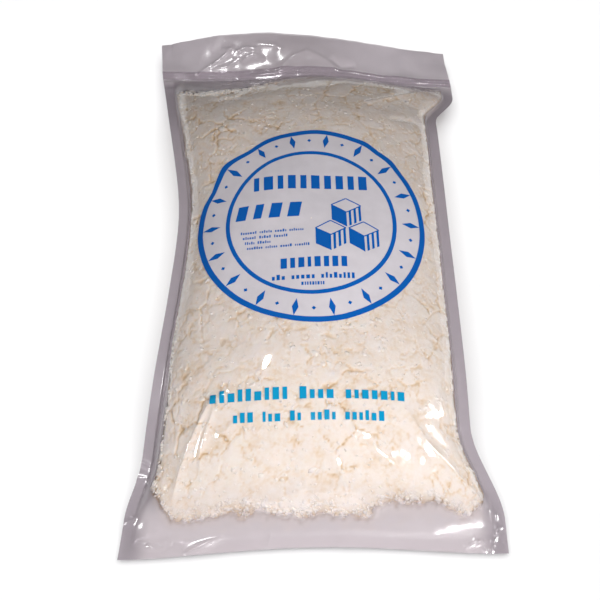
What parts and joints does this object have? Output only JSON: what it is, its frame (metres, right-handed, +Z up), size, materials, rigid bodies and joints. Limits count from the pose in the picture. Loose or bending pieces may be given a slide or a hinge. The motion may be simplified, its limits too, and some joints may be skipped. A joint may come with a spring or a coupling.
{
  "type": "bag of crumbled feta cheese",
  "caption": "Clear sealed film bag full of crumbled white cheese, lying flat, with side fins, a foot flap and a press-to-close zip below an open header.",
  "frame": {"origin": "on the surface the bag lies on, under the middle of its outline", "axes": "+Y from the foot of the bag to its zip and header, +Z up out of the printed front, +X to the right of someone at the foot"},
  "size_m": [0.254, 0.4398, 0.0674],
  "materials": {
    "film": "clear heat-sealed film, faintly lilac where it lies empty, with the white cheese showing through it",
    "zip_strip": "clear extruded press-to-close strip",
    "cheese": "moist crumbled white cheese, warmer in its cracks",
    "print": "blue and white ink under the gloss of the film"
  },
  "bodies": {
    "root": {"bag": "film", "zip": "zip_strip"}
  },
  "joints": []
}
